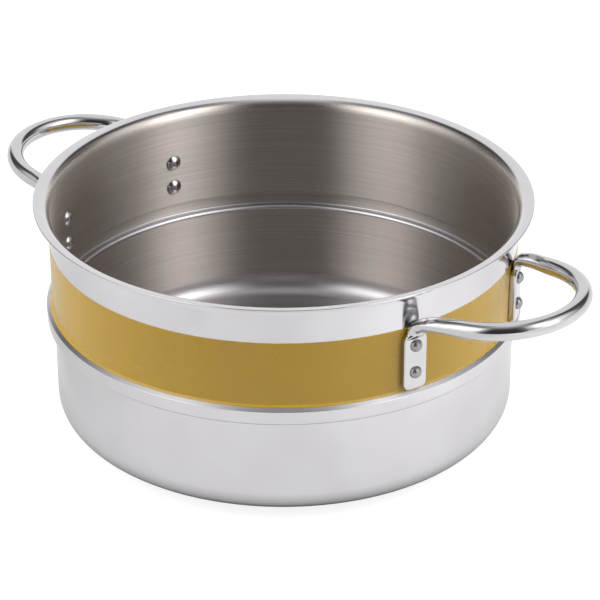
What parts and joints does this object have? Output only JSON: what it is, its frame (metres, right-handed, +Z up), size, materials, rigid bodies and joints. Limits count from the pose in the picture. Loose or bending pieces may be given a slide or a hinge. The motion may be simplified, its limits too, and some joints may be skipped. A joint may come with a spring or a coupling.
{
  "type": "buffet pot",
  "caption": "Open round steel pot with a rolled-out rim, a coloured band on its upper wall, a stepped shoulder below it and loop handles riveted on at opposite sides.",
  "frame": {"origin": "centre of the underside of the base", "axes": "+Z up through the open mouth, +X towards the right handle, +Y towards the rear"},
  "size_m": [0.3696, 0.266, 0.129],
  "materials": {
    "shell_steel": "brushed inside, polished outside",
    "band_coating": "glossy mustard yellow coating",
    "core_aluminium": "plain, as rolled",
    "cap_steel": "satin",
    "handle_steel": "polished",
    "rivet_steel": "polished"
  },
  "bodies": {
    "root": {"pot_body": "shell_steel", "colour_band": "band_coating", "base_core": "core_aluminium", "base_cap": "cap_steel", "handle_right": "handle_steel", "handle_left": "handle_steel", "rivet_right_front_upper": "rivet_steel", "rivet_right_front_lower": "rivet_steel", "rivet_right_rear_upper": "rivet_steel", "rivet_right_rear_lower": "rivet_steel", "rivet_left_front_upper": "rivet_steel", "rivet_left_front_lower": "rivet_steel", "rivet_left_rear_upper": "rivet_steel", "rivet_left_rear_lower": "rivet_steel"}
  },
  "joints": []
}
